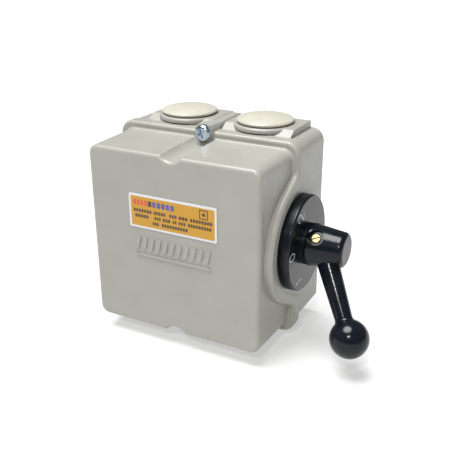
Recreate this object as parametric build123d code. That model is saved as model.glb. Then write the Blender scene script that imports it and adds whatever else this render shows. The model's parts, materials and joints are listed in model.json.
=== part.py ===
from build123d import *
import os
from math import cos, radians, sin, sqrt, tan

# Rotary motor switch in a two-part die-cast metal enclosure, worked by a ball lever on its side.
# Millimetres. X points to the lever side, Y points back to the wall, Z points up.
# The origin is the centre of the rear face, which bears on the wall.

# ---------------------------------------------------------------- driving dimensions

# Enclosure
face_width = 116.6          # front face of the cover
face_height = 116.0
total_depth = 85.0          # wall face to front face
parting_depth = 35.4        # wall face to the joint between base and cover
rim_thickness = 8.2         # rim of the cover, along the depth
rim_width = 127.0           # outside of the rim
rim_height = 127.0
rim_corner = 9.0
rim_round = 2.2             # rounding of the rim's front outer edge
rim_hollow = 1.6            # hollow where the rim meets the cover's sides
rim_bend = 4.0              # bends where the rim runs into the ring round the ear
base_width = 125.7
base_height = 119.0
base_corner = 8.0           # upper corners
base_foot_corner = 3.5      # lower corners
base_centre_x = -0.45       # its right wall lies behind the rim's side
base_centre_z = 3.0         # the base stops short of the rim's lower edge
base_draft = 0.4            # degrees
cover_corner = 7.0          # long edges of the cover, at the rim
cover_draft = 1.2           # degrees, for the casting to leave its die
front_edge = 2.4            # rounding of the front face's edges
wall = 3.0
least_corner = 1.0
rear_edge = 1.2             # rounding of the rear face's edges
seal_land = 6.2             # the walls thicken to this where base and cover meet
land_depth = 4.0

# Opening for the switch in the side wall: a round ear on the base, ringed by the cover's rim
switch_y = -39.9            # switch axis, which runs along X
switch_z = 0.5
ear_ring_radius = 39.8      # outside of the rim where it rings the ear
ear_ring_width = 6.6        # the rim is narrower where it rings the ear
ear_tangent = 30.0          # degrees off vertical, where the round part runs into straight flanks
ear_recess = 0.3            # seat of the dial in the ear's face
ear_plate_back = -12.0      # the thick side plate ends here

# Joint seal
seal_inset = 2.6            # from the outside of the base to the seal
seal_width = 2.0
seal_height = 1.6

# Cover screws, M5 pan head, on the centre line above and below the cover
cover_screw_z = 62.5
lug_radius = 6.4
lug_proud = 0.5             # the lug stands forward of the rim
lug_top = 67.2              # lugs and bosses are cut flat, level with the entry pads
boss_top = 66.5
boss_length = 33.8          # bosses along the base behind the lugs
boss_radius = 5.8
boss_web = 8.0              # joins each boss to the wall
boss_round = 2.5
m5_radius = 2.5
m5_head_radius = 5.2
m5_head_height = 3.8
cover_screw_length = 18.0
groove_radius = 9.2         # screwdriver groove in the top and the bottom of the cover
groove_depth = 3.3
groove_round = 1.0

# Conduit entries in the top, closed by plugs
left_entry_x = -25.0
right_entry_x = 29.6
entry_y = -19.0
entry_radius = 12.75        # for M25 conduit
left_pad_outer = 47.0
right_pad_outer = 53.2
left_pad_inner = 2.0
right_pad_inner = 7.0
pad_height = 4.2
pad_back = -1.6
pad_ramp = 6.5
collar_radius = 20.0
collar_rise = 0.4
collar_round = 1.6
plug_radius = 18.1
plug_gap = 0.5
plug_rim = 2.1
plug_dome = 2.5
plug_round = 0.7
plug_bulge_reach = 11.2     # the dome is this high at this reach
plug_bulge = 1.7
plug_stem_length = 10.0
plug_stem_wall = 2.0
plug_split = 1.6            # the stem is slit into four springy legs
plug_notch = 2.6            # square notch in the dome
plug_notch_reach = 11.0
plug_notch_depth = 1.6
left_notch_angle = 106.0    # degrees about Z
right_notch_angle = 118.0

# Wall mounting and the earth terminal
wall_hole_pitch = 92.0
wall_hole_radius = 2.75
earth_x = -40.0
earth_z = -20.0
earth_boss_radius = 6.0
earth_boss_height = 8.0
earth_washer_radius = 5.0
earth_washer_thick = 0.8

# Label and the raised decoration on the front
label_width = 60.6
label_height = 21.7
label_thick = 0.4
label_centre = (0.7, 21.0)
rib_count = 11
rib_pitch = 4.9
rib_width = 2.6
rib_length = 9.2
rib_lean = 14.0             # degrees
rib_proud = 0.7
underline_width = 53.6
underline_height = 1.5
underline_z = -7.8

# Dial plate
dial_radius = 30.1
dial_face = 69.3            # X of its face
dial_skin = 2.0
dial_collar_radius = 13.0
dial_collar_rise = 2.3
dial_screw_radius = 26.0    # from the switch axis to each dial screw
dial_screw_bore = 1.5
dial_screw_depth = 4.5
dial_post_radius = 3.2
numeral_radius = 24.0
numeral_height = 8.0
numeral_width = 5.0
numeral_stroke = 0.6
numeral_depth = 0.3
position_step = 60.0        # degrees between switch positions

# Lever
lever_angle = -60.0         # degrees from straight forward; below is negative
hub_start = 72.2
hub_end = 94.5
hub_base_radius = 13.4
hub_end_radius = 10.8
hub_end_round = 3.0
arm_start = 79.5            # X where the arm's axis leaves the hub's axis
ball_radius = 11.8
ball_x = 107.4
ball_reach = 50.2           # from the switch axis to the ball's centre
arm_root_radius = 7.1
arm_tip_radius = 4.8
set_screw_x = 77.4
set_screw_radius = 2.9
set_screw_pocket = 5.0
set_screw_seat = 10.4       # from the shaft's axis to the floor of the pocket
set_screw_lead = 105.0      # degrees from the arm to the set screw
insert_radius = 7.0
insert_end = 86.5

# Shaft
shaft_radius = 4.0
shaft_square = 5.6
shaft_end = 84.5
running_gap = 0.05
tail_radius = 2.75
shaft_flat = 0.6            # flat under the set screw
bush_radius = 6.5
bush_length = 3.2
clip_radius = 7.0           # retaining ring
clip_groove = 3.2
clip_thick = 1.0
clip_mouth = 2.4

# Switch stack, from the ear inward
stage_count = 3
stage_length = 15.0
block_half_y = 23.0
block_half_z = 25.0
stack_corner = 6.0
partition = 2.5
chamber_radius = 15.0
detent_length = 12.0
end_plate_thick = 3.0
hub_radius = 7.8
cam_low = 10.0
cam_high = 13.0
cam_gap = 0.4
tie_y = 19.0
tie_radius = 2.0
mount_pitch = 34.0
m4_radius = 2.0
m4_head_radius = 3.8
m4_head_height = 2.6

# Detent: a six-sided wheel turns under a leaf spring
wheel_flat = 11.0           # across half the flats
wheel_length = 8.0
leaf_half = 17.0
leaf_z = 11.4
leaf_thick = 0.6
leaf_rise = 3.0

# Contacts
strip_top = 15.9
strip_thick = 1.0
strip_width = 7.0
contact_gap = 0.1
bridge_half = 11.0
bridge_width = 5.0
bridge_thick = 1.0
tip_height = 0.5
tip_y = 8.5
post_radius = 1.5
post_top = 20.0
spring_seat = 23.6
spring_radius = 2.5
spring_wire = 0.25
spring_turns = 4.5
terminal_y = 18.2
terminal_radius = 1.75
terminal_head = 3.0

clearance = 0.2             # between screws and the holes they pass through

# ---------------------------------------------------------------- worked-out places

rim_front = -(parting_depth + rim_thickness)
ring_inside = face_width / 2 - 1
front_y = -total_depth
seat_y = rim_front - lug_proud
side_x = base_width / 2 + base_centre_x
top_z = base_centre_z + base_height / 2
foot_z = base_centre_z - base_height / 2
ear_inner = side_x - seal_land
ear_outer = side_x - ear_recess
detent_x = ear_inner - detent_length
stack_end = detent_x - stage_count * stage_length
tail_x = stack_end - end_plate_thick
thread_depth = cover_screw_length - rim_thickness
entries = (
    (-left_pad_outer, -left_pad_inner, left_entry_x),
    (right_pad_inner, right_pad_outer, right_entry_x),
)
ear_root = rim_thickness - ear_ring_width   # the ear runs back to the joint
clip_x = side_x + 1.0
stage_starts = [detent_x - stage_length * (number + 1) for number in range(stage_count)]


on_seat = (Align.CENTER, Align.CENTER, Align.MIN)


def facing_front(y):
    """Plane across the depth: local x is X, local y is Z, extrusions run forward."""
    return Plane(origin=(0, y, 0), x_dir=(1, 0, 0), z_dir=(0, -1, 0))


def across_switch(x):
    """Plane across the switch axis: local x is Y, local y is Z, extrusions run along +X."""
    return Plane(origin=(x, switch_y, switch_z), x_dir=(0, 1, 0), z_dir=(1, 0, 0))


def disc(x, radius, length, y=0.0, z=0.0):
    """Cylinder along X, its near end at x, placed by its offset from the switch axis."""
    return extrude(across_switch(x) * Pos(y, z) * Circle(radius), length)


def block(x, y, z):
    """Box between pairs of limits, where y and z are offsets from the switch axis."""
    size = Box(x[1] - x[0], y[1] - y[0], z[1] - z[0], align=Align.MIN)
    return Pos(x[0], switch_y + y[0], switch_z + z[0]) * size


def screw_along_depth(y_seat, x, z, radius, length):
    """Shank that runs back from a seat facing the front."""
    return extrude(facing_front(y_seat) * Pos(x, z) * Circle(radius), -length)


def at_angle(angle, radius):
    """Offset (Y, Z) from the switch axis; 0 degrees is straight forward, positive is up."""
    return (-radius * cos(radians(angle)), radius * sin(radians(angle)))


# ---------------------------------------------------------------- enclosure

def ear_face(inset, overshoot=0.0):
    """Outline of the ear in the side wall, drawn in from the outside of the ringing rim."""
    radius = ear_ring_radius - inset
    back = rim_front + inset - switch_y + overshoot
    slope = radians(ear_tangent)
    tangent = (-radius * sin(slope), radius * cos(slope))
    kink = tangent[1] + (back - tangent[0]) * tan(slope)
    outline = Line((back, -kink), (back, kink))
    outline += Line((back, kink), tangent)
    outline += ThreePointArc(tangent, (-radius, 0), (tangent[0], -tangent[1]))
    outline += Line((tangent[0], -tangent[1]), (back, -kink))
    return make_face(outline)


def ear_solid(inset, x_from, x_to, overshoot=0.0):
    return extrude(across_switch(x_from) * ear_face(inset, overshoot), x_to - x_from)


def base_outline(inset):
    """Outline of the base at the joint, drawn in from its outside."""
    outline = Rectangle(base_width - 2 * inset, base_height - 2 * inset)
    upper = outline.vertices().group_by(Axis.Y)[-1]
    outline = fillet(upper, max(base_corner - inset, least_corner))
    lower = outline.vertices().group_by(Axis.Y)[0]
    outline = fillet(lower, max(base_foot_corner - inset, least_corner))
    return Pos(base_centre_x, base_centre_z) * outline


def seal_shape():
    """The seal follows the joint: round the rim, and forward round the ear."""
    track = base_outline(seal_inset) - base_outline(seal_inset + seal_width)
    ring = extrude(facing_front(-parting_depth) * track, seal_height)
    x_to = side_x - seal_inset
    ring += ear_solid(ear_ring_width - seal_height, x_to - seal_width, x_to)
    return ring - ear_solid(ear_ring_width, ear_inner, side_x, overshoot=2 * seal_height)


def entry_pad(x_from, x_to, entry_x):
    """Raised pad with a ramped front and a round collar, which takes a conduit entry."""
    start = -parting_depth
    root = top_z - wall / 2
    profile = Polyline(
        (start, root),
        (start, top_z),
        (start + pad_ramp, top_z + pad_height),
        (pad_back, top_z + pad_height),
        (pad_back, root),
        close=True,
    )
    side_plane = Plane(origin=(x_from, 0, 0), x_dir=(0, 1, 0), z_dir=(1, 0, 0))
    pad = extrude(side_plane * make_face(profile), x_to - x_from)
    return pad + entry_collar(entry_x)


def entry_collar(entry_x):
    """Round seat of an entry: it overhangs the cover's rim a little, clear of it."""
    low = top_z + pad_height * 0.45
    collar = Cylinder(collar_radius, top_z + pad_height + collar_rise - low, align=on_seat)
    collar = Pos(0, 0, low) * fillet(collar.edges().group_by(Axis.Z)[-1], collar_round)
    skirt = Cone(collar_radius - 2, collar_radius, low - top_z + 1, align=on_seat)
    skirt = Pos(0, 0, top_z - 1) * skirt
    forward = parting_depth + entry_y
    to_back = pad_back - entry_y
    skirt &= block_about(2 * collar_radius, (-forward, to_back), 2 * rim_height)
    collar &= block_about(2 * collar_radius, (-collar_radius, to_back), 2 * rim_height)
    return Pos(entry_x, entry_y, 0) * (collar + skirt)


def block_about(width, y, height):
    """Box centred on X and Z that spans a pair of limits along Y."""
    return Pos(0, sum(y) / 2, 0) * Box(width, y[1] - y[0], height)


def screw_boss(end):
    """Tapped boss on the base behind a cover lug, with a web to the wall."""
    outline = Pos(0, end * cover_screw_z) * Circle(boss_radius)
    web_centre = end * (cover_screw_z - boss_web / 2)
    outline += Pos(0, web_centre) * Rectangle(2 * boss_radius, boss_web)
    outline &= Rectangle(rim_width, 2 * boss_top)
    boss = extrude(facing_front(-parting_depth) * outline, -boss_length)
    return fillet(boss.edges().group_by(Axis.Y)[-1], boss_round)


def base_shell():
    """Tapered box open to the front, thicker where the seal bears."""
    facing_back = Plane(origin=(0, -parting_depth, 0), x_dir=(-1, 0, 0), z_dir=(0, 1, 0))
    outline = facing_back * mirror(base_outline(0), Plane.YZ)
    shell = extrude(outline, parting_depth, taper=base_draft)
    rear_edges = shell.faces().sort_by(Axis.Y)[-1].edges()
    shell = fillet(rear_edges, rear_edge)
    inset = wall + parting_depth * tan(radians(base_draft))
    room = parting_depth - land_depth - wall
    shell -= extrude(facing_front(-wall) * base_outline(inset), room)
    lip = facing_front(-parting_depth + land_depth) * base_outline(seal_land)
    return shell - extrude(lip, land_depth)


def base_housing():
    base = base_shell()
    plate_back = ear_plate_back - switch_y
    plate_front = -parting_depth - switch_y
    plate_half = ear_ring_radius
    base += block((ear_inner, side_x - 1), (plate_front, plate_back), (-plate_half, plate_half))
    base += ear_solid(ear_ring_width, ear_inner, side_x, overshoot=ear_root)
    base -= disc(ear_outer, dial_radius + clearance, 2 * ear_recess)
    for x_from, x_to, entry_x in entries:
        base += entry_pad(x_from, x_to, entry_x)
    for end in (-1, 1):
        base += screw_boss(end)
        base -= screw_along_depth(-parting_depth, 0, end * cover_screw_z, m5_radius, thread_depth)
    for x_from, x_to, entry_x in entries:
        base -= Pos(entry_x, entry_y, top_z) * Cylinder(entry_radius, 4 * seal_land)
    return base - base_bores() + earth_boss()


def base_bores():
    """Shaft bush, switch and dial screws in the ear, and the wall screws in the back."""
    bores = disc(ear_inner - 1, bush_radius, seal_land + 2)
    for y in (-1, 1):
        for z in (-1, 1):
            centre = (y * mount_pitch / 2, z * mount_pitch / 2)
            bores += disc(ear_inner - 1, m4_radius + clearance, seal_land + 2, *centre)
    for y in (-1, 1):
        hole = dial_screw_bore + clearance
        bores += disc(ear_inner - 1, hole, seal_land + 2, y * dial_screw_radius)
    for x in (-1, 1):
        for z in (-1, 1):
            centre = (x * wall_hole_pitch / 2, z * wall_hole_pitch / 2)
            bores += extrude(facing_front(1) * Pos(*centre) * Circle(wall_hole_radius), wall + 2)
    return bores


def earth_boss():
    """Post on the back wall inside, tapped for the earth screw."""
    spot = facing_front(-wall + 0.5) * Pos(earth_x, earth_z)
    post = extrude(spot * Circle(earth_boss_radius), earth_boss_height + 0.5)
    hole = facing_front(-wall - 1) * Pos(earth_x, earth_z)
    return post - extrude(hole * Circle(m4_radius), earth_boss_height)


def cover_box(inset, y_from, y_to):
    """Tapered box of the cover, drawn in by a wall."""
    narrowing = 2 * (total_depth + y_from) * tan(radians(cover_draft))
    width = face_width + narrowing - 2 * inset
    height = face_height + narrowing - 2 * inset
    outline = facing_front(y_from) * RectangleRounded(width, height, cover_corner - inset)
    return extrude(outline, y_from - y_to, taper=cover_draft)


def groove(end, radius, y_from, length):
    centre = face_height / 2 - groove_depth + groove_radius
    return screw_along_depth(y_from, 0, end * centre, radius, length)


def raised_ribs():
    """Plain leaning ribs with a bar under them, raised on the front face."""
    front = facing_front(front_y + 0.5)
    bars = Sketch()
    for number in range(rib_count):
        x = (number - (rib_count - 1) / 2) * rib_pitch
        bars += Pos(x, 0) * SlotOverall(rib_length, rib_width, rotation=90 - rib_lean)
    bars += Pos(0, underline_z) * SlotOverall(underline_width, underline_height)
    return extrude(front * bars, 0.5 + rib_proud)


def front_cover():
    cover = cover_body() - cover_cavity()
    cover -= ear_solid(ear_ring_width, side_x - 20, rim_width / 2 + 1, overshoot=ear_root + 3)
    for end in (-1, 1):
        cover += cover_lug(end)
        hole = m5_radius + clearance
        depth = rim_thickness + lug_proud + 2
        cover -= screw_along_depth(seat_y - 1, 0, end * cover_screw_z, hole, depth)
    return cover + raised_ribs() - seal_shape()


def cover_body():
    """Outside of the cover: grooved box, hollowed where it meets the rim."""
    width = rim_width - 2 * rim_round
    height = rim_height - 2 * rim_round
    outline = RectangleRounded(width, height, rim_corner - rim_round)
    body = grooved_box() + extrude(facing_front(-parting_depth) * outline, rim_thickness)
    rim_faces = body.faces().filter_by(Axis.Y).filter_by_position(Axis.Y, seat_y, -parting_depth)
    rim_face = rim_faces.sort_by(Axis.Y)[0]
    body = fillet(rim_face.inner_wires()[0].edges(), rim_hollow)
    return body + ringed_rim()


def ringed_rim():
    """The rim, which bends forward round the ear, with one rounding along its outside."""
    outline = RectangleRounded(rim_width, rim_height, rim_corner)
    rim = extrude(facing_front(-parting_depth) * outline, rim_thickness)
    rim += ear_solid(0, ring_inside, rim_width / 2)
    on_front = rim.edges().filter_by_position(Axis.Y, rim_front - 0.01, rim_front + 0.01)
    bends = on_front.filter_by(Axis.X).filter_by_position(Axis.X, ring_inside, rim_width / 2)
    rim = fillet(bends, rim_bend)
    return fillet([edge for edge in rim.edges() if is_outer(edge)], rim_round)


def is_outer(edge):
    """True for the rim's front outer edges and the outer edges of its ring."""
    middle = edge @ 0.5
    if edge.length < rim_bend / 8 or middle.Y > rim_front + 0.01:
        return False
    if abs(middle.X - rim_width / 2) < 0.01:
        return True
    front = facing_front(rim_front) * RectangleRounded(rim_width, rim_height, rim_corner)
    return front.wires()[0].distance_to(Vertex(*middle)) < 0.01


def grooved_box():
    """Tapered box of the cover with a screwdriver groove in its top and bottom."""
    box = cover_box(0, -parting_depth, front_y)
    for end in (-1, 1):
        box -= groove(end, groove_radius, rim_front + 1, -total_depth)
    box = fillet(box.edges().filter_by(GeomType.ELLIPSE), groove_round)
    return fillet(box.faces().sort_by(Axis.Y)[0].edges(), front_edge)


def cover_lug(end):
    """Lug on the rim for a cover screw, hollowed where the groove passes it."""
    outline = Pos(0, end * cover_screw_z) * Circle(lug_radius)
    outline &= Rectangle(rim_width, 2 * lug_top)
    lug = extrude(facing_front(-parting_depth) * outline, rim_thickness + lug_proud)
    return lug - cover_cavity()


def cover_cavity():
    """Inside of the cover, kept clear of the screwdriver grooves and of the seal's track."""
    cavity = cover_box(wall, -parting_depth + 2, front_y + wall)
    for end in (-1, 1):
        cavity -= groove(end, groove_radius + wall, rim_front + 4, -total_depth)
    sill_top = foot_z + seal_land
    sill = block_about(rim_width, (rim_front - wall, 0), 2 * wall)
    return cavity - Pos(0, 0, sill_top - wall) * sill


def pan_head(radius, height):
    """Domed screw head on the XY plane, seat down, with a cross recess."""
    head = Cylinder(radius, height, align=on_seat)
    head = fillet(head.edges().sort_by(Axis.Z)[-1], height * 0.62)
    recess = Box(radius * 1.1, radius * 0.24, height) + Box(radius * 0.24, radius * 1.1, height)
    return head - Pos(0, 0, height) * recess


def cover_screws():
    screws = Part()
    for end in (-1, 1):
        spot = facing_front(seat_y) * Pos(0, end * cover_screw_z)
        shank = Pos(0, 0, -cover_screw_length) * Cylinder(
            m5_radius, cover_screw_length, align=on_seat
        )
        shank = chamfer(shank.edges().sort_by(Axis.Z)[0], 0.5)
        turned = Rot(0, 0, 20 * end) * pan_head(m5_head_radius, m5_head_height)
        screws += spot * (turned + shank)
    return screws


def entry_plug(entry_x, notch_angle):
    """Domed blanking plug with a thin rim, a notch and a split spring stem."""
    seat = top_z + pad_height + collar_rise
    under = seat + plug_gap
    crown = under + plug_rim + plug_dome
    bulge = under + plug_rim + plug_bulge
    half = Polyline(
        (0, under),
        (plug_radius - plug_round, under),
        (plug_radius, under + plug_round),
        (plug_radius, under + plug_rim - plug_round),
        (plug_radius - plug_round, under + plug_rim),
    )
    half += Line((0, under), (0, crown))
    shoulder = (plug_radius - plug_round, under + plug_rim)
    half += ThreePointArc(shoulder, (plug_bulge_reach, bulge), (0, crown))
    head = revolve(Plane.XZ * make_face(half), Axis.Z)
    head += Pos(0, 0, seat) * Cylinder(plug_radius - 4, plug_gap, align=on_seat)
    notch = Box(plug_notch, plug_notch, plug_dome, align=on_seat)
    notch = Pos(plug_notch_reach, 0, bulge - plug_notch_depth) * notch
    head -= Rot(0, 0, notch_angle) * notch
    return Pos(entry_x, entry_y, 0) * (head + plug_stem(seat))


def plug_stem(seat):
    start = top_z - plug_stem_length
    stem = Cylinder(entry_radius, seat - start, align=on_seat)
    stem -= Cylinder(entry_radius - plug_stem_wall, 2 * (seat - start), align=on_seat)
    split = 2 * (plug_stem_length - wall - 1)
    stem -= Box(plug_split, 3 * entry_radius, split)
    stem -= Box(3 * entry_radius, plug_split, split)
    return Pos(0, 0, start) * stem


def rating_label():
    front = facing_front(front_y) * Pos(*label_centre)
    return extrude(front * RectangleRounded(label_width, label_height, 1.0), label_thick)


# ---------------------------------------------------------------- dial

def dial_plate():
    height = dial_face - ear_outer
    plate = disc(ear_outer, dial_radius, height)
    plate = fillet(plate.edges().group_by(Axis.X)[-1], 1.3)
    plate -= disc(ear_outer, dial_radius - dial_skin, height - dial_skin)
    plate += disc(dial_face - dial_skin, dial_collar_radius, dial_skin + dial_collar_rise)
    for side in (-1, 1):
        centre = side * dial_screw_radius
        plate += disc(ear_outer, dial_post_radius, height - dial_skin / 2, centre)
        plate -= disc(ear_outer, dial_screw_bore, dial_screw_depth, centre)
    plate -= disc(ear_outer, shaft_radius + 0.4, dial_face)
    return plate - numerals()


def numeral_spot(angle):
    """Place on the dial face, with the numeral's top toward the front of the enclosure."""
    y, z = at_angle(angle, numeral_radius)
    origin = (dial_face - numeral_depth, switch_y + y, switch_z + z)
    return Plane(origin=origin, x_dir=(0, 0, 1), z_dir=(1, 0, 0))


def numeral_zero():
    outer = Ellipse(numeral_width / 2, numeral_height / 2)
    inner = Ellipse(numeral_width / 2 - numeral_stroke, numeral_height / 2 - numeral_stroke)
    return outer - inner


def numeral_one():
    half = numeral_height / 2
    path = Polyline((-numeral_width * 0.3, half * 0.55), (0, half), (0, -half))
    return trace(path, numeral_stroke)


def numeral_two():
    half = numeral_height / 2
    bow = numeral_width / 2
    waist = (bow * 0.85, half - bow * 1.4)
    path = ThreePointArc((-bow, half - bow), (0, half), waist)
    path += Polyline(waist, (-bow, -half), (bow, -half))
    return trace(path, numeral_stroke)


def numerals():
    digits = Part()
    shapes = (numeral_one(), numeral_zero(), numeral_two())
    for number, shape in enumerate(shapes):
        spot = numeral_spot((number - 1) * position_step)
        digits += extrude(spot * shape, numeral_depth)
    return digits


def dial_screws():
    screws = Part()
    for side in (-1, 1):
        centre = side * dial_screw_radius
        screws += disc(ear_inner - 2.0, 2.7, 2.0, centre)
        length = ear_outer + dial_screw_depth - ear_inner
        screws += disc(ear_inner - 0.5, dial_screw_bore, length, centre)
    return screws


# ---------------------------------------------------------------- lever

def lever_point(x, reach):
    y, z = at_angle(lever_angle, reach)
    return Vector(x, switch_y + y, switch_z + z)


def hub_solid():
    base = across_switch(hub_start) * Circle(hub_base_radius)
    end = across_switch(hub_end) * Circle(hub_end_radius)
    hub = loft([base, end])
    hub = fillet(hub.edges().group_by(Axis.X)[-1], hub_end_round)
    return fillet(hub.edges().group_by(Axis.X)[0], 0.5)


def arm_and_ball():
    """Tapered arm that flares into the ball, turned about the arm's own axis."""
    start = lever_point(arm_start, 0)
    centre = lever_point(ball_x, ball_reach)
    length = (centre - start).length
    half = Polyline((0, 0), (arm_root_radius, 0), (arm_tip_radius, length), (0, length), close=True)
    ball = Pos(0, length) * Circle(ball_radius)
    ball &= Pos(ball_radius, length) * Rectangle(2 * ball_radius, 2 * ball_radius)
    profile = make_face(half) + ball
    neck_height = length - sqrt(ball_radius ** 2 - arm_tip_radius ** 2)
    neck = profile.vertices().sort_by_distance((arm_tip_radius, neck_height, 0))[0]
    profile = fillet(neck, 3.0)
    spot = Plane(origin=start, z_dir=centre - start)
    turned = revolve(Plane.XZ * profile, Axis.Z)
    return spot * turned


def set_screw_plane(radius):
    """Plane square to the set screw."""
    y, z = at_angle(lever_angle + set_screw_lead, 1)
    origin = (set_screw_x, switch_y + y * radius, switch_z + z * radius)
    return Plane(origin=origin, x_dir=(1, 0, 0), z_dir=(0, y, z))


def handle_lever():
    lever = hub_solid() + arm_and_ball()
    lever -= disc(hub_start - 1, insert_radius, insert_end - hub_start + 1)
    bore = extrude(set_screw_plane(0) * Circle(set_screw_radius), hub_base_radius)
    pocket = extrude(set_screw_plane(set_screw_seat) * Circle(set_screw_pocket), hub_base_radius)
    return lever - bore - pocket


def handle_insert():
    insert = disc(hub_start + 0.3, insert_radius, insert_end - hub_start - 0.3)
    insert -= disc(hub_start - 1, shaft_radius, shaft_end - hub_start + 1)
    return insert - extrude(set_screw_plane(0) * Circle(set_screw_radius), hub_base_radius)


def handle_set_screw():
    tip = shaft_radius - shaft_flat
    top = 11.4
    screw = Pos(0, 0, tip) * Cylinder(set_screw_radius, top - tip, align=on_seat)
    screw = chamfer(screw.edges().sort_by(Axis.Z)[-1], 0.4)
    slot = Pos(0, 0, top) * Rot(0, 0, 25) * Box(3 * set_screw_radius, 0.9, 2.4)
    return set_screw_plane(0) * (screw - slot)


# ---------------------------------------------------------------- shaft and its bearing

def switch_shaft():
    shaft = disc(detent_x + 0.5, shaft_radius, shaft_end - detent_x - 0.5)
    square = Rectangle(shaft_square, shaft_square)
    shaft += extrude(across_switch(stack_end + cam_gap) * square, detent_x + 2 - stack_end)
    shaft += disc(tail_x, tail_radius, end_plate_thick + 1)
    ring = disc(clip_x, shaft_radius + 1, clip_thick) - disc(clip_x, clip_groove, clip_thick)
    shaft -= ring
    flat = extrude(set_screw_plane(shaft_radius - shaft_flat) * Rectangle(8, 10), 3)
    return shaft - flat


def shaft_bush():
    bush = disc(ear_inner, bush_radius, bush_length)
    return bush - disc(ear_inner - 1, shaft_radius + running_gap, 7)


def shaft_seal():
    minor = (bush_radius - shaft_radius - 0.1) / 2
    major = shaft_radius + 0.1 + minor
    centre = ear_inner + bush_length + minor
    return across_switch(centre) * Torus(major, minor)


def retaining_ring():
    ring = disc(clip_x, clip_radius, clip_thick) - disc(clip_x - 1, clip_groove, 3)
    mouth = block((clip_x - 1, clip_x + 2), (-clip_mouth, clip_mouth), (0, clip_radius + 1))
    return ring - mouth


# ---------------------------------------------------------------- switch stack

def tie_holes(x, length):
    holes = Part()
    for side in (-1, 1):
        holes += disc(x, tie_radius + clearance, length, side * tie_y)
    return holes


def stack_plate(x, length):
    outline = Rectangle(2 * block_half_y, 2 * block_half_z)
    outline = fillet(outline.vertices(), stack_corner)
    return extrude(across_switch(x) * outline, length)


def detent_housing():
    housing = stack_plate(detent_x, detent_length)
    housing -= disc(detent_x, chamber_radius, detent_length - partition)
    housing -= disc(detent_x, shaft_radius + cam_gap, detent_length + 1)
    for y in (-1, 1):
        for z in (-1, 1):
            centre = (y * mount_pitch / 2, z * mount_pitch / 2)
            housing -= disc(detent_x + 3, m4_radius, detent_length, *centre)
    slot = (leaf_z - 0.1, leaf_z + leaf_rise)
    housing -= block((detent_x, detent_x + 9), (-leaf_half - 0.2, leaf_half + 0.2), slot)
    return housing - tie_holes(detent_x - 1, detent_length + 2)


def detent_wheel():
    """Six-sided wheel: the leaf spring rests on a flat at each switch position."""
    x = detent_x + cam_gap
    wheel = extrude(across_switch(x) * RegularPolygon(wheel_flat, 6, False), wheel_length)
    corners = wheel.edges().filter_by(Axis.X)
    wheel = fillet(corners, 1.0)
    return wheel - shaft_hole(x - 1, 10) - disc(detent_x + 0.5, shaft_radius, 10)


def shaft_hole(x, length):
    return extrude(across_switch(x) * Rectangle(shaft_square, shaft_square), length)


def detent_spring():
    """Leaf spring with turned-up ends, held in slots above the wheel."""
    x = (detent_x + 1.5, detent_x + 7.5)
    leaf = block(x, (-leaf_half, leaf_half), (leaf_z, leaf_z + leaf_thick))
    for side in (-1, 1):
        ends = sorted((side * leaf_half, side * (leaf_half - leaf_thick)))
        leaf += block(x, ends, (leaf_z, leaf_z + leaf_rise - 0.2))
    return leaf


def mounting_screws():
    screws = Part()
    for y in (-1, 1):
        for z in (-1, 1):
            spot = across_switch(ear_outer) * Pos(y * mount_pitch / 2, z * mount_pitch / 2)
            shank = Pos(0, 0, -13) * Cylinder(m4_radius, 13, align=on_seat)
            screws += spot * (pan_head(m4_head_radius, m4_head_height) + shank)
    return screws


def contact_block(x):
    """Moulded tray for one pole: cam chamber, contact rooms and open terminal bays."""
    tray = stack_plate(x, stage_length)
    tray -= disc(x + partition, chamber_radius, stage_length)
    tray -= disc(x - 1, hub_radius + cam_gap, stage_length)
    room = (x + partition, x + stage_length + 1)
    strip = strip_limits(x)
    floor = strip_top - strip_thick
    for end in (-1, 1):
        tray -= block(room, (-12.3, 12.3), limits(end, floor, spring_seat))
        tray -= block(strip, (-24, 24), limits(end, floor, strip_top))
        tray -= block(room, (-2.9, 2.9), limits(end, chamber_radius - 2, floor + 1))
        for side in (-1, 1):
            bay = limits(side, 13.5, block_half_y + 1)
            tray -= block(room, bay, limits(end, floor, block_half_z + 1))
            hole = Pos(strip_middle(x), switch_y + side * terminal_y, switch_z + end * 13)
            tray -= hole * Cylinder(terminal_radius, 6)
    return tray - tie_holes(x - 1, stage_length + 2)


def limits(side, near, far):
    """Limits of a length that lies on either side of the axis."""
    return tuple(sorted((side * near, side * far)))


def strip_middle(x):
    return x + partition + (stage_length - partition) / 2


def strip_limits(x):
    middle = strip_middle(x)
    return (middle - strip_width / 2, middle + strip_width / 2)


def fixed_contacts(end):
    """Copper strips from the contact rooms out to the terminals, one pair in each stage."""
    strips = Part()
    for x in stage_starts:
        for side in (-1, 1):
            strip = block(
                strip_limits(x),
                limits(side, 5.5, block_half_y - 0.5),
                limits(end, strip_top - strip_thick, strip_top),
            )
            hole = Pos(strip_middle(x), switch_y + side * terminal_y, switch_z + end * 15)
            strips += strip - hole * Cylinder(terminal_radius, 6)
    return strips


def terminal_screws(end):
    screws = Part()
    for x in stage_starts:
        for side in (-1, 1):
            head = Cylinder(terminal_head, 2.4, align=on_seat) - Pos(0, 0, 2.4) * Box(7, 0.9, 2)
            shank = Pos(0, 0, -5) * Cylinder(terminal_radius, 5, align=on_seat)
            turn = Rot(0, 0, 0) if end > 0 else Rot(180, 0, 0)
            spot = Pos(strip_middle(x), switch_y + side * terminal_y, switch_z + end * strip_top)
            screws += spot * turn * (head + shank)
    return screws


def end_plate():
    plate = stack_plate(tail_x, end_plate_thick)
    plate -= disc(tail_x - 1, tail_radius + running_gap, end_plate_thick + 2)
    return plate - tie_holes(tail_x - 1, end_plate_thick + 2)


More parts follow.
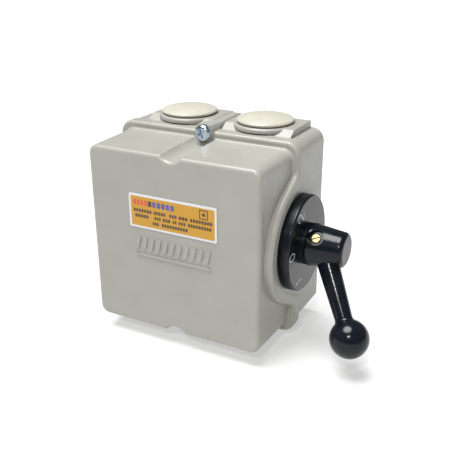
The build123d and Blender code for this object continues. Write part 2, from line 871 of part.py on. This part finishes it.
def tie_bolts():
    bolts = Part()
    for side in (-1, 1):
        centre = side * tie_y
        bolts += disc(tail_x - 2.6, 3.6, 2.6, centre)
        bolts += disc(tail_x - 0.5, tie_radius, ear_inner - 3.6 - tail_x, centre)
    return bolts


def tie_nuts():
    """Square nuts let into the detent housing's front."""
    nuts = Part()
    for side in (-1, 1):
        x = ear_inner - 3.5
        nut = block((x, x + 3.0), (side * tie_y - 3, side * tie_y + 3), (-3, 3))
        nuts += nut - disc(x - 1, tie_radius, 5, side * tie_y)
    return nuts


def cam_radius(angle):
    """Radius in degrees round the cam: two dwells joined by even rises, read from +Y to +Z."""
    turn = angle % 360
    rise = (cam_high - cam_low) / (2 * position_step)
    if turn < 30:
        return cam_low + rise * (30 - turn)
    if turn <= 90:
        return cam_low
    if turn <= 210:
        return cam_low + rise * (turn - 90)
    if turn <= 270:
        return cam_high
    return cam_low + rise * (390 - turn)


def cam(x):
    """Cam that lets the upper contacts close at one end of the travel and the lower at the other."""
    step = 15
    outline = Curve()
    for low, high in ((-90, 30), (90, 210)):
        points = []
        for angle in range(low, high + step, step):
            reach = cam_radius(angle)
            points.append((reach * cos(radians(angle)), reach * sin(radians(angle))))
        outline += Spline(*points)
    outline += arc_about_axis(cam_low, 30, 90)
    outline += arc_about_axis(cam_high, 210, 270)
    lobe = extrude(across_switch(x + partition + 1) * make_face(outline), 10.5)
    hub = disc(x + cam_gap / 2, hub_radius, stage_length - cam_gap)
    return lobe + hub - shaft_hole(x - 1, stage_length + 2)


def arc_about_axis(radius, start, end):
    points = []
    for angle in (start, (start + end) / 2, end):
        points.append((radius * cos(radians(angle)), radius * sin(radians(angle))))
    return ThreePointArc(*points)


def lift_at_rest(end):
    """With the lever in position 1 the upper contacts are closed and the lower ones lifted."""
    return 0.0 if end > 0 else cam_high - cam_low


def plunger(x, end):
    """Follower of one cam: a round-nosed stem with a post through the contact bridge."""
    lift = lift_at_rest(end)
    nose = 2.5
    low = cam_low + cam_gap
    shoulder = strip_top + contact_gap + tip_height
    profile = Pos(0, low + nose) * Circle(nose)
    height = shoulder - low - nose
    profile += Pos(0, low + nose + height / 2) * Rectangle(2 * nose, height)
    start = strip_middle(x) - 3
    stem = extrude(Plane(origin=(start, 0, 0), x_dir=(0, 1, 0), z_dir=(1, 0, 0)) * profile, 6)
    post = Cylinder(post_radius, post_top - shoulder, align=on_seat)
    stem += Pos(strip_middle(x), 0, shoulder) * post
    return place_contact(stem, end, lift)


def place_contact(shape, end, lift):
    """Move a part made above the axis into place, or mirror it below the axis."""
    shape = Pos(0, 0, lift) * shape
    if end < 0:
        shape = mirror(shape, Plane.XY)
    return Pos(0, switch_y, switch_z) * shape


def bridge(x, end):
    """Moving contact: a bar with two silver tips that joins the two fixed contacts."""
    middle = strip_middle(x)
    under = strip_top + contact_gap
    bar = Box(bridge_width, 2 * bridge_half, bridge_thick, align=on_seat)
    bar = fillet(bar.edges().filter_by(Axis.Z), 1.2)
    bar = Pos(0, 0, under + tip_height) * bar
    bar -= Pos(0, 0, under) * Cylinder(post_radius, 6)
    for side in (-1, 1):
        tip = Cylinder(1.8, tip_height, align=on_seat)
        bar += Pos(0, side * tip_y, under) * tip
    return place_contact(Pos(middle, 0, 0) * bar, end, lift_at_rest(end))


def contact_spring(x, end):
    """Coil spring between the bridge and the roof of the contact room."""
    low = strip_top + contact_gap + tip_height + bridge_thick + lift_at_rest(end)
    length = spring_seat - low - 2 * spring_wire - 0.1
    path = Helix(length / spring_turns, length, spring_radius)
    start = Plane(origin=path @ 0, z_dir=path % 0)
    coil = sweep(start * Circle(spring_wire), path, is_frenet=True)
    coil = Pos(strip_middle(x), 0, low + spring_wire + 0.05) * coil
    return place_contact(coil, end, 0)


def earth_screw():
    spot = facing_front(-wall - earth_boss_height) * Pos(earth_x, earth_z)
    shank = Pos(0, 0, -6.5) * Cylinder(m4_radius, 6.5 + earth_washer_thick, align=on_seat)
    head = Pos(0, 0, earth_washer_thick) * pan_head(m4_head_radius, m4_head_height)
    return spot * (head + shank)


def earth_washer():
    spot = facing_front(-wall - earth_boss_height) * Pos(earth_x, earth_z)
    return extrude(spot * (Circle(earth_washer_radius) - Circle(m4_radius)), earth_washer_thick)


# ---------------------------------------------------------------- every part, by name

def all_parts():
    parts = {
        "base_housing": base_housing(),
        "front_cover": front_cover(),
        "cover_seal": seal_shape(),
        "cover_screws": cover_screws(),
        "left_entry_plug": entry_plug(left_entry_x, left_notch_angle),
        "right_entry_plug": entry_plug(right_entry_x, right_notch_angle),
        "rating_label": rating_label(),
        "dial_plate": dial_plate(),
        "dial_numerals": numerals(),
        "dial_screws": dial_screws(),
        "handle_lever": handle_lever(),
        "handle_insert": handle_insert(),
        "handle_set_screw": handle_set_screw(),
        "switch_shaft": switch_shaft(),
        "shaft_bush": shaft_bush(),
        "shaft_seal": shaft_seal(),
        "retaining_ring": retaining_ring(),
        "switch_mounting_screws": mounting_screws(),
        "detent_housing": detent_housing() - tie_nuts(),
        "detent_wheel": detent_wheel(),
        "detent_spring": detent_spring(),
        "end_plate": end_plate(),
        "tie_bolts": tie_bolts(),
        "tie_nuts": tie_nuts(),
        "earth_screw": earth_screw(),
        "earth_washer": earth_washer(),
    }
    for end, name in ((1, "upper"), (-1, "lower")):
        parts[f"{name}_fixed_contacts"] = fixed_contacts(end)
        parts[f"{name}_terminal_screws"] = terminal_screws(end)
    for number, x in enumerate(stage_starts, start=1):
        parts[f"contact_block_{number}"] = contact_block(x)
        parts[f"cam_{number}"] = cam(x)
        for end, name in ((1, "upper"), (-1, "lower")):
            parts[f"{name}_plunger_{number}"] = plunger(x, end)
            parts[f"{name}_bridge_{number}"] = bridge(x, end)
            parts[f"{name}_spring_{number}"] = contact_spring(x, end)
    return parts


os.makedirs("parts", exist_ok=True)
for name, shape in all_parts().items():
    export_step(shape, f"parts/{name}.step")
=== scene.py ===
import json
import math

import bmesh
import bpy
from mathutils import Euler, Matrix, Vector


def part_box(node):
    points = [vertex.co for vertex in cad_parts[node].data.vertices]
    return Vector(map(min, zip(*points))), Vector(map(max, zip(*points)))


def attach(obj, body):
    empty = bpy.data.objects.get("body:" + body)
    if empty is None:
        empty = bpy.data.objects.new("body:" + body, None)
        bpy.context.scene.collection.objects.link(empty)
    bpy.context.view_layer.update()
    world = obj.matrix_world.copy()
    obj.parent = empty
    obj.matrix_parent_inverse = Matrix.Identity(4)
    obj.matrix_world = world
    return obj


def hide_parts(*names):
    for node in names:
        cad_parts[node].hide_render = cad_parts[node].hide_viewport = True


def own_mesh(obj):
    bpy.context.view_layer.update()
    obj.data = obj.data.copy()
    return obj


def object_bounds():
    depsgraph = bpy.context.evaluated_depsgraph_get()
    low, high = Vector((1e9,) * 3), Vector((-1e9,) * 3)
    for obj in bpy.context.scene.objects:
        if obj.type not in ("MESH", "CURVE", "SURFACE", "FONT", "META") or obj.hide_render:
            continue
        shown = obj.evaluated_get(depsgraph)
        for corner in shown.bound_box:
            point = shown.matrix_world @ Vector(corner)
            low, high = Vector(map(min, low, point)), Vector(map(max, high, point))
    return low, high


# Looks for a rotary motor switch in a painted cast enclosure. Metres, in the CAD part's own frame:
# X towards the lever, Y back into the wall, Z up.

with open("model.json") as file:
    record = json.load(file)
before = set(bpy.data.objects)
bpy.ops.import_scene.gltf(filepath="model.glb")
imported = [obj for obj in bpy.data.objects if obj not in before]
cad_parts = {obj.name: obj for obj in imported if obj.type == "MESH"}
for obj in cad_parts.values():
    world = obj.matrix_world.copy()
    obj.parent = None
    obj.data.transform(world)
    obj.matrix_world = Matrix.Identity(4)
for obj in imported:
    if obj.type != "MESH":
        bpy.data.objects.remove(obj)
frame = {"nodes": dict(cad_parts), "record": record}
nodes = frame["nodes"]
cad_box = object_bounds()

MM = 0.001


def add_object(name, data):
    """New object in the scene that shows this mesh, camera or light."""
    made = bpy.data.objects.new(name, data)
    bpy.context.collection.objects.link(made)
    return made


# ---------------------------------------------------------------- node materials


class Shader:
    """A material's node tree, with short ways to add the nodes used here."""

    def __init__(self, name, colour, roughness):
        self.material = bpy.data.materials.new(name)
        self.material.use_nodes = True
        self.tree = self.material.node_tree
        self.surface = self.tree.nodes["Principled BSDF"]
        self.surface.inputs["Base Color"].default_value = (*colour, 1)
        self.surface.inputs["Roughness"].default_value = roughness
        self.where = self.add("ShaderNodeTexCoord").outputs["Object"]
        self.material.diffuse_color = (*colour, 1)

    def add(self, kind, **settings):
        node = self.tree.nodes.new(kind)
        for key, value in settings.items():
            setattr(node, key, value)
        return node

    def link(self, source, target):
        self.tree.links.new(source, target)

    def stretched(self, scale):
        """Object coordinates scaled along each axis."""
        mapping = self.add("ShaderNodeMapping")
        mapping.inputs["Scale"].default_value = scale
        self.link(self.where, mapping.inputs["Vector"])
        return mapping.outputs["Vector"]

    def noise(self, size, detail, vector=None):
        """Noise whose features are about `size` metres across."""
        node = self.add("ShaderNodeTexNoise")
        node.inputs["Scale"].default_value = 1 / size
        node.inputs["Detail"].default_value = detail
        self.link(vector or self.where, node.inputs["Vector"])
        return node.outputs["Fac"]

    def fit(self, source, low, high, out_low, out_high):
        """The source's range low to high, spread over out_low to out_high and clamped there."""
        node = self.add("ShaderNodeMapRange")
        for key, value in zip(
            ("From Min", "From Max", "To Min", "To Max"), (low, high, out_low, out_high)
        ):
            node.inputs[key].default_value = value
        self.link(source, node.inputs["Value"])
        return node.outputs["Result"]

    def mix(self, factor, a, b):
        """Mix of two colours by a factor socket; each colour is a socket or plain."""
        node = self.add("ShaderNodeMix", data_type="RGBA")
        self.link(factor, node.inputs["Factor"])
        for socket, value in (("A", a), ("B", b)):
            target = [i for i in node.inputs if i.name == socket and i.type == "RGBA"][0]
            if isinstance(value, tuple):
                target.default_value = (*value, 1)
            else:
                self.link(value, target)
        return [o for o in node.outputs if o.type == "RGBA"][0]

    def bumps(self, *layers):
        """Chain of bump nodes; each layer is (height socket, strength, distance)."""
        normal = None
        for height, strength, distance in layers:
            node = self.add("ShaderNodeBump")
            node.inputs["Strength"].default_value = strength
            node.inputs["Distance"].default_value = distance
            self.link(height, node.inputs["Height"])
            if normal is not None:
                self.link(normal, node.inputs["Normal"])
            normal = node.outputs["Normal"]
        self.link(normal, self.surface.inputs["Normal"])

    def set(self, **values):
        """Sets the surface's inputs, with _ for each space in an input's name."""
        for key, value in values.items():
            self.surface.inputs[key.replace("_", " ")].default_value = value

    def colour_from(self, socket):
        self.link(socket, self.surface.inputs["Base Color"])

    def roughness_from(self, socket):
        self.link(socket, self.surface.inputs["Roughness"])


def painted_casting():
    """Light grey enamel over a die-casting: orange peel, soft blotches and a few dark specks."""
    s = Shader("housing_paint", (0.34, 0.338, 0.302), 0.32)
    blotches = s.fit(s.noise(22 * MM, 3), 0.3, 0.7, 0.0, 1.0)
    base = s.mix(blotches, (0.296, 0.293, 0.260), (0.320, 0.317, 0.284))
    specks = s.fit(s.noise(0.9 * MM, 2), 0.70, 0.78, 0.0, 0.10)
    base = s.mix(specks, base, (0.20, 0.195, 0.18))
    s.colour_from(base)
    s.roughness_from(s.fit(s.noise(6 * MM, 4), 0.3, 0.7, 0.29, 0.40))
    peel = s.noise(1.6 * MM, 2)
    waves = s.noise(9 * MM, 1)
    s.bumps((waves, 0.25, 0.25 * MM), (peel, 0.22, 0.06 * MM))
    s.set(Specular_IOR_Level=0.4, Coat_Weight=0.1, Coat_Roughness=0.25)
    return s.material


def black_phenolic(name, roughness, gloss, waves, grain, spread):
    """Black moulded phenolic: polished, with faint flow marks and fine handling scratches."""
    s = Shader(name, (0.004, 0.005, 0.008), roughness)
    cloud = s.fit(s.noise(9 * MM, 4), 0.35, 0.7, 0.0, 1.0)
    s.colour_from(s.mix(cloud, (0.003, 0.0045, 0.007), (0.006, 0.008, 0.012)))
    streaks = s.noise(0.5 * MM, 4, s.stretched((1, 0.12, 0.2)))
    s.roughness_from(s.fit(streaks, 0.35, 0.75, roughness * (1 - spread), roughness * (1 + spread)))
    s.bumps((s.noise(7 * MM, 1), waves, 0.2 * MM), (s.noise(0.8 * MM, 2), grain, 0.02 * MM))
    s.set(Specular_IOR_Level=gloss)
    return s.material


def moulded_plastic(name, light, dark, roughness, grain):
    """Moulded plastic with a slight grain and uneven tone."""
    s = Shader(name, light, roughness)
    tone = s.fit(s.noise(8 * MM, 3), 0.3, 0.7, 0.0, 1.0)
    s.colour_from(s.mix(tone, dark, light))
    s.roughness_from(s.fit(s.noise(2 * MM, 3), 0.3, 0.7, roughness * 0.85, roughness * 1.15))
    s.bumps((s.noise(0.5 * MM, 2), grain, 0.03 * MM))
    return s.material


def plated_metal(name, light, dark, roughness, streak=(1, 1, 1)):
    """Bare or plated metal with cloudy tone, fine tool marks and uneven gloss."""
    s = Shader(name, light, roughness)
    tone = s.fit(s.noise(3 * MM, 4), 0.3, 0.7, 0.0, 1.0)
    s.colour_from(s.mix(tone, dark, light))
    marks = s.noise(0.35 * MM, 4, s.stretched(streak))
    s.roughness_from(s.fit(marks, 0.3, 0.7, roughness * 0.7, roughness * 1.3))
    s.bumps((marks, 0.15, 0.02 * MM))
    s.set(Metallic=1.0)
    return s.material


def black_rubber():
    """Matt black rubber with a fine grain."""
    s = Shader("seal_rubber", (0.02, 0.02, 0.02), 0.75)
    s.roughness_from(s.fit(s.noise(1.2 * MM, 4), 0.3, 0.7, 0.62, 0.85))
    s.bumps((s.noise(0.6 * MM, 3), 0.25, 0.05 * MM))
    return s.material


def printed(name, ink, worn, roughness):
    """Ink printed on a film label, with slightly uneven cover."""
    s = Shader(name, ink, roughness)
    cover = s.fit(s.noise(0.35 * MM, 3), 0.30, 0.62, 0.0, 1.0)
    s.colour_from(s.mix(cover, worn, ink))
    s.roughness_from(s.fit(s.noise(5 * MM, 3), 0.3, 0.7, roughness * 0.8, roughness * 1.25))
    s.bumps((s.noise(6 * MM, 2), 0.10, 0.1 * MM))
    return s.material


paint = painted_casting()
lever_black = black_phenolic("lever_phenolic", 0.20, 0.26, 0.08, 0.03, 0.25)
dial_black = black_phenolic("dial_phenolic", 0.26, 0.28, 0.02, 0.003, 0.05)
cream = moulded_plastic("plug_plastic", (0.455, 0.44, 0.375), (0.42, 0.405, 0.342), 0.40, 0.12)
zinc = plated_metal("zinc_plate", (0.74, 0.82, 0.92), (0.45, 0.58, 0.74), 0.22)
brass = plated_metal("turned_brass", (0.46, 0.385, 0.19), (0.28, 0.21, 0.09), 0.34, (1, 6, 6))
steel = plated_metal("turned_steel", (0.60, 0.60, 0.60), (0.46, 0.46, 0.47), 0.28, (8, 1, 1))
spring = plated_metal("spring_steel", (0.50, 0.51, 0.53), (0.36, 0.37, 0.40), 0.32)
copper = plated_metal("pressed_copper", (0.82, 0.47, 0.32), (0.62, 0.33, 0.22), 0.34)
phenolic = moulded_plastic("block_phenolic", (0.060, 0.045, 0.035), (0.045, 0.032, 0.026), 0.4, 0.2)
nylon = moulded_plastic("moulded_nylon", (0.80, 0.78, 0.70), (0.74, 0.72, 0.63), 0.45, 0.15)
numeral_white = moulded_plastic("numeral_fill", (0.80, 0.80, 0.79), (0.62, 0.62, 0.61), 0.5, 0.3)
rubber = black_rubber()
label_white = printed("label_white", (0.62, 0.63, 0.66), (0.57, 0.58, 0.61), 0.32)
label_orange = printed("label_orange", (0.50, 0.258, 0.016), (0.45, 0.231, 0.014), 0.32)
label_ink = printed("label_ink", (0.030, 0.020, 0.018), (0.12, 0.06, 0.02), 0.4)
label_red = printed("label_red", (0.52, 0.035, 0.03), (0.60, 0.16, 0.05), 0.35)
label_blue = printed("label_blue", (0.055, 0.065, 0.28), (0.12, 0.10, 0.20), 0.35)

by_slot = {
    "housing_paint": paint,
    "seal_rubber": rubber,
    "zinc_steel": zinc,
    "plug_plastic": cream,
    "label_print": label_white,
    "dial_plastic": dial_black,
    "numeral_paint": numeral_white,
    "lever_plastic": lever_black,
    "turned_brass": brass,
    "shaft_steel": steel,
    "spring_steel": spring,
    "block_plastic": phenolic,
    "cam_plastic": nylon,
    "contact_copper": copper,
}
slot_of = {part["node"]: part["material_slot"] for part in frame["record"]["subparts"]}
for name, thing in nodes.items():
    for place in thing.material_slots:
        place.material = by_slot[slot_of[name]]


# ---------------------------------------------------------------- upper springs as their own mesh copies

# A bridge that rises with its slide presses its coil against the roof of the contact room.
for number in (1, 2, 3):
    stiff = nodes[f"upper_spring_{number}"]
    coil = add_object(f"upper_coil_{number}", stiff.data.copy())
    coil.matrix_world = stiff.matrix_world
    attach(coil, "enclosure")
    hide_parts(stiff.name)
    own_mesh(coil)


# ---------------------------------------------------------------- the label's print

BORDER = 1.35 * MM
FIELD_ROUND = 0.8 * MM
FIELD_THICK = 0.04 * MM
INK_THICK = 0.03 * MM

# Places on the label are in mm from its left and lower edges. A line of words is
# its height above the lower edge, then where each word starts and ends.
WORD_HEIGHT = 2.1
WORD_LINES = {
    11.4: [(3.2, 16.0), (17.6, 25.8), (28.6, 33.6), (35.2, 41.0), (43.0, 57.6)],
    7.9: [(4.2, 13.6), (18.0, 22.4), (24.0, 29.0), (31.0, 33.4), (35.0, 39.6), (41.4, 57.0)],
    4.4: [(16.6, 21.0), (23.0, 41.0)],
}
BAND_HEIGHT = 3.5
BAND_LINE = 16.5
BANDS = (
    ("label_band_red", 3.2, 13.2, label_red),
    ("label_band_dark", 13.8, 16.2, label_ink),
    ("label_band_blue", 16.8, 32.0, label_blue),
)
SYMBOL_PLACE = (52.0, 16.3)
SYMBOL_SIZE = 5.8
SYMBOL_STROKE = 0.6

# Shares of a bar's height: its width, the gap after it and its corners
BAR_SHARE = 0.66
GAP_SHARE = 0.20
CORNER_SHARE = 0.12
DOT_SHARE = 0.19            # the symbol's dot, its radius as a share of the ring's width

label_low, label_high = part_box("rating_label")
label_front = label_low.y
ink_back = label_front - FIELD_THICK


def rounded_outline(width, height, radius, arc=6):
    """Corner points of a rounded rectangle centred on 0, anticlockwise."""
    points = []
    for turn, (x, z) in enumerate(((1, -1), (1, 1), (-1, 1), (-1, -1))):
        centre_x = x * (width / 2 - radius)
        centre_z = z * (height / 2 - radius)
        for step in range(arc + 1):
            angle = math.radians(-90 + 90 * turn + 90 * step / arc)
            points.append((centre_x + radius * math.cos(angle), centre_z + radius * math.sin(angle)))
    return points


def flat_print(name, shapes, y, thick, material):
    """Thin printed shapes facing the front. Each shape is (x, z, outline)."""
    mesh = bpy.data.meshes.new(name)
    made = bmesh.new()
    for x, z, outline in shapes:
        front = [made.verts.new((x + px, y - thick, z + pz)) for px, pz in outline]
        back = [made.verts.new((x + px, y, z + pz)) for px, pz in outline]
        made.faces.new(front)
        for here in range(len(outline)):
            after = (here + 1) % len(outline)
            made.faces.new((front[after], front[here], back[here], back[after]))
    bmesh.ops.recalc_face_normals(made, faces=made.faces)
    made.to_mesh(mesh)
    made.free()
    mesh.materials.append(material)
    piece = add_object(name, mesh)
    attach(piece, "enclosure")


def print_field():
    """Coloured field inside the label's white border."""
    width = label_high.x - label_low.x - 2 * BORDER
    height = label_high.z - label_low.z - 2 * BORDER
    x = (label_low.x + label_high.x) / 2
    z = (label_low.z + label_high.z) / 2
    outline = rounded_outline(width, height, FIELD_ROUND)
    flat_print("label_field", [(x, z, outline)], label_front, FIELD_THICK, label_orange)


def bar(x_from, x_to, z, height):
    """Rounded bar between two places along a line of print."""
    middle = label_low.x + (x_from + x_to) / 2 * MM
    outline = rounded_outline((x_to - x_from) * MM, height * MM, CORNER_SHARE * height * MM, 3)
    return (middle, label_low.z + z * MM, outline)


def word_bars(spans, z, height):
    """Each word is a row of short bars with narrow gaps, so that it reads as small print."""
    shapes = []
    gap = height * GAP_SHARE
    for start, end in spans:
        count = max(1, round((end - start + gap) / (height * BAR_SHARE + gap)))
        pitch = (end - start + gap) / count
        for number in range(count):
            x = start + number * pitch
            shapes.append(bar(x, x + pitch - gap, z, height))
    return shapes


def print_symbol(size, stroke):
    """Generic symbol: a dot in a square ring."""
    x = label_low.x + SYMBOL_PLACE[0] * MM
    z = label_low.z + SYMBOL_PLACE[1] * MM
    offset = (size - stroke) / 2
    shapes = []
    for side in (-1, 1):
        shapes.append((x, z + side * offset, rounded_outline(size, stroke, stroke * 0.3, 2)))
        upright = rounded_outline(stroke, size - 2 * stroke, stroke * 0.1, 2)
        shapes.append((x + side * offset, z, upright))
    dot = DOT_SHARE * size
    angles = [math.radians(degrees) for degrees in range(0, 360, 20)]
    shapes.append((x, z, [(dot * math.cos(a), dot * math.sin(a)) for a in angles]))
    flat_print("label_symbol", shapes, ink_back, INK_THICK, label_ink)


print_field()
words = []
for line, spans in WORD_LINES.items():
    words += word_bars(spans, line, WORD_HEIGHT)
flat_print("label_words", words, ink_back, INK_THICK, label_ink)
for name, start, end, ink in BANDS:
    band = word_bars([(start, end)], BAND_LINE, BAND_HEIGHT)
    flat_print(name, band, ink_back, INK_THICK, ink)
print_symbol(SYMBOL_SIZE * MM, SYMBOL_STROKE * MM)


# ---------------------------------------------------------------- camera, floor and light

CAMERA_PLACE = (0.2130, -0.4135, 0.1781)
CAMERA_DOWN = 23.0          # degrees
CAMERA_TURN = 27.86
CAMERA_ROLL = -0.16
CAMERA_LENS = 55.64         # mm, with the sensor's width
SENSOR_WIDTH = 36

FLOOR_GAP = 0.5 * MM
FLOOR_REACH = 6.0
FLOOR_GLOW = 0.46

WORLD_STRENGTH = 0.16
SUN_STRENGTH = 5.5
SUN_SPREAD = 38             # degrees, wide enough for soft shadows
SUN_AIM = (0.20, 0.13, -1.0)
KEY_PLACE = (0.24, -0.75, 0.62)
KEY_TARGET = (0.05, -0.04, 0)
KEY_SIZE = (0.08, 0.05)
KEY_POWER = 3.2
KEY_COLOUR = (1.0, 0.985, 0.96)


def add_camera():
    """Camera above and to the right of the front."""
    camera = bpy.data.cameras.new("camera")
    camera.sensor_width = SENSOR_WIDTH
    camera.lens = CAMERA_LENS
    camera.clip_start = 0.01
    camera.clip_end = 50
    eye = add_object("camera", camera)
    turn = Euler((math.radians(90 - CAMERA_DOWN), 0, math.radians(CAMERA_TURN))).to_matrix()
    turn = turn @ Matrix.Rotation(math.radians(CAMERA_ROLL), 3, "Z")
    eye.matrix_world = Matrix.Translation(CAMERA_PLACE) @ turn.to_4x4()
    bpy.context.scene.camera = eye


def add_floor():
    """Pale paper that glows a little, so that it stays white and lights the upright faces."""
    mesh = bpy.data.meshes.new("floor")
    z = cad_box[0].z - FLOOR_GAP
    signs = ((-1, -1), (1, -1), (1, 1), (-1, 1))
    corners = [(x * FLOOR_REACH, y * FLOOR_REACH, z) for x, y in signs]
    mesh.from_pydata(corners, [], [(0, 1, 2, 3)])
    paper = Shader("floor_paper", (0.43, 0.43, 0.43), 0.9)
    paper.colour_from(paper.mix(paper.noise(0.4, 2), (0.42, 0.42, 0.42), (0.44, 0.44, 0.44)))
    paper.set(Specular_IOR_Level=0.1, Emission_Color=(1, 1, 1, 1), Emission_Strength=FLOOR_GLOW)
    mesh.materials.append(paper.material)
    add_object("floor", mesh)


def add_world():
    world = bpy.data.worlds.new("studio")
    world.use_nodes = True
    background = world.node_tree.nodes["Background"]
    background.inputs["Color"].default_value = (1, 1, 1, 1)
    background.inputs["Strength"].default_value = WORLD_STRENGTH
    bpy.context.scene.world = world


def add_lamp(light, place, aim):
    lamp = add_object(light.name, light)
    lamp.location = place
    lamp.rotation_mode = "QUATERNION"
    lamp.rotation_quaternion = aim.to_track_quat("-Z", "Y")


def add_lights():
    """Wide overhead sun, and a small key light in front that draws the lever's highlights."""
    sun = bpy.data.lights.new("overhead", "SUN")
    sun.energy = SUN_STRENGTH
    sun.angle = math.radians(SUN_SPREAD)
    add_lamp(sun, (0, 0, 0), Vector(SUN_AIM))
    key = bpy.data.lights.new("key", "AREA")
    key.shape = "RECTANGLE"
    key.size, key.size_y = KEY_SIZE
    key.energy = KEY_POWER
    key.color = KEY_COLOUR
    add_lamp(key, KEY_PLACE, Vector(KEY_TARGET) - Vector(KEY_PLACE))


add_camera()
add_floor()
add_world()
add_lights()
bpy.context.scene.view_settings.view_transform = "Standard"

bpy.context.view_layer.update()
